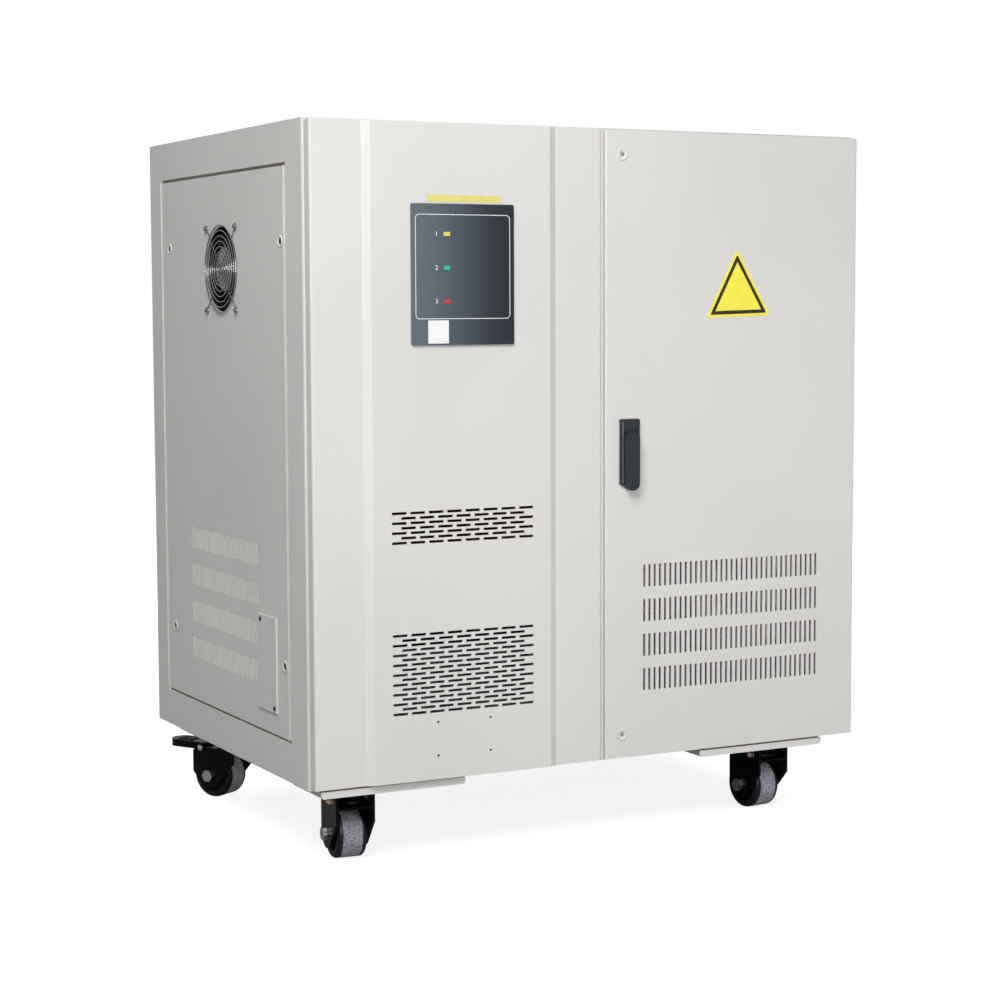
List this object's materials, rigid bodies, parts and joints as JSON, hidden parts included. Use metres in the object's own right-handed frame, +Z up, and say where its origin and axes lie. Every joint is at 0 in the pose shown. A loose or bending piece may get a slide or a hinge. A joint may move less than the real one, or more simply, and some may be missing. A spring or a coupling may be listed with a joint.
{
  "type": "three-phase dry transformer in a cabinet on casters",
  "caption": "Sheet-steel transformer cabinet on swivel casters, with a display cover, a slotted hinged door, a fan on one side and a core with windings inside.",
  "frame": {"origin": "on the floor under the middle of the bounding box", "axes": "+X to the right seen from the front, +Y to the back, +Z up; the door and the display face -Y"},
  "size_m": [0.7858, 0.5734, 0.893],
  "materials": {
    "powder_coat": "fine textured warm off-white powder coat",
    "display_face": "dark slate printed film",
    "lamp": "lens, each lamp its own colour",
    "black_plastic": "moulded fan plastic",
    "guard_chrome": "bright plated wire",
    "core_steel": "stacked laminations",
    "winding_varnish": "varnished copper winding",
    "zinc_steel": "zinc plated",
    "board_laminate": "pressed laminate",
    "stud_brass": "machined",
    "lock_black": "satin blue-black coating",
    "caster_black": "glossy black",
    "wheel_rubber": "black with a scuffed grey tread"
  },
  "bodies": {
    "cabinet": {"base_tray": "powder_coat", "caster_pads": "powder_coat", "caster_top_plates": "caster_black", "left_side_frame": "powder_coat", "right_side_frame": "powder_coat", "left_side_panel": "powder_coat", "right_side_panel": "powder_coat", "back_panel": "powder_coat", "top_cover": "powder_coat", "centre_post": "powder_coat", "front_cover": "powder_coat", "display_panel": "display_face", "indicator_lamps": "lamp", "cable_cover_plate": "powder_coat", "fan_housing": "black_plastic", "fan_guard": "guard_chrome", "core": "core_steel", "left_winding": "winding_varnish", "centre_winding": "winding_varnish", "right_winding": "winding_varnish", "core_clamps": "zinc_steel", "core_rails": "zinc_steel", "terminal_board": "board_laminate", "terminal_studs": "stud_brass", "door_hinge_brackets": "zinc_steel"},
    "door": {"door_panel": "powder_coat", "door_hinge_knuckles": "zinc_steel", "lock_base": "lock_black"},
    "lock_spindle": {"lock_spindle": "lock_black"},
    "lock_lever": {"lock_lever": "lock_black"},
    "fan_rotor": {"fan_rotor": "black_plastic"},
    "front_left_caster": {"front_left_fork": "caster_black", "front_left_axle": "zinc_steel"},
    "front_left_wheel": {"front_left_wheel": "wheel_rubber"},
    "front_right_caster": {"front_right_fork": "caster_black", "front_right_axle": "zinc_steel"},
    "front_right_wheel": {"front_right_wheel": "wheel_rubber"},
    "rear_left_caster": {"rear_left_fork": "caster_black", "rear_left_axle": "zinc_steel"},
    "rear_left_wheel": {"rear_left_wheel": "wheel_rubber"},
    "rear_right_caster": {"rear_right_fork": "caster_black", "rear_right_axle": "zinc_steel"},
    "rear_right_wheel": {"rear_right_wheel": "wheel_rubber"},
    "rear_left_pedal": {"rear_left_pedal": "caster_black"},
    "rear_right_pedal": {"rear_right_pedal": "caster_black"}
  },
  "joints": [
    {"name": "door_hinge", "type": "hinge", "parent": "cabinet", "child": "door", "pos_m": [0.38344, -0.26925, 0.4955], "axis": [0, 0, 1], "range_deg": [0, 110]},
    {"name": "handle_turn", "type": "hinge", "parent": "door", "child": "lock_spindle", "pos_m": [0.04254, -0.27525, 0.512], "axis": [0, -1, 0], "range_deg": [0, 90]},
    {"name": "handle_lift", "type": "hinge", "parent": "lock_spindle", "child": "lock_lever", "pos_m": [0.04254, -0.28325, 0.512], "axis": [-1, 0, 0], "range_deg": [0, 60]},
    {"name": "fan_spin", "type": "hinge", "parent": "cabinet", "child": "fan_rotor", "pos_m": [-0.37006, 0.01055, 0.7216], "axis": [1, 0, 0], "continuous": true},
    {"name": "front_left_swivel", "type": "hinge", "parent": "cabinet", "child": "front_left_caster", "pos_m": [-0.32256, -0.22725, 0.07], "axis": [0, 0, 1], "continuous": true},
    {"name": "front_right_swivel", "type": "hinge", "parent": "cabinet", "child": "front_right_caster", "pos_m": [0.28044, -0.22725, 0.07], "axis": [0, 0, 1], "continuous": true},
    {"name": "rear_left_swivel", "type": "hinge", "parent": "cabinet", "child": "rear_left_caster", "pos_m": [-0.32256, 0.18075, 0.07], "axis": [0, 0, 1], "continuous": true},
    {"name": "rear_right_swivel", "type": "hinge", "parent": "cabinet", "child": "rear_right_caster", "pos_m": [0.28044, 0.18075, 0.07], "axis": [0, 0, 1], "continuous": true},
    {"name": "front_left_roll", "type": "hinge", "parent": "front_left_caster", "child": "front_left_wheel", "pos_m": [-0.32047, -0.20736, 0.031], "axis": [-0.9945, 0.1045, 0], "continuous": true},
    {"name": "front_right_roll", "type": "hinge", "parent": "front_right_caster", "child": "front_right_wheel", "pos_m": [0.27835, -0.20736, 0.031], "axis": [-0.9945, -0.1045, 0], "continuous": true},
    {"name": "rear_left_roll", "type": "hinge", "parent": "rear_left_caster", "child": "rear_left_wheel", "pos_m": [-0.33286, 0.19789, 0.031], "axis": [-0.8572, -0.515, 0], "continuous": true},
    {"name": "rear_right_roll", "type": "hinge", "parent": "rear_right_caster", "child": "rear_right_wheel", "pos_m": [0.278, 0.2006, 0.031], "axis": [-0.9925, -0.1219, 0], "continuous": true},
    {"name": "rear_left_brake", "type": "hinge", "parent": "rear_left_caster", "child": "rear_left_pedal", "pos_m": [-0.34007, 0.20989, 0.0687], "axis": [-0.8572, -0.515, 0], "range_deg": [0, 12]},
    {"name": "rear_right_brake", "type": "hinge", "parent": "rear_right_caster", "child": "rear_right_pedal", "pos_m": [0.2763, 0.2145, 0.0687], "axis": [-0.9925, -0.1219, 0], "range_deg": [0, 12]}
  ]
}
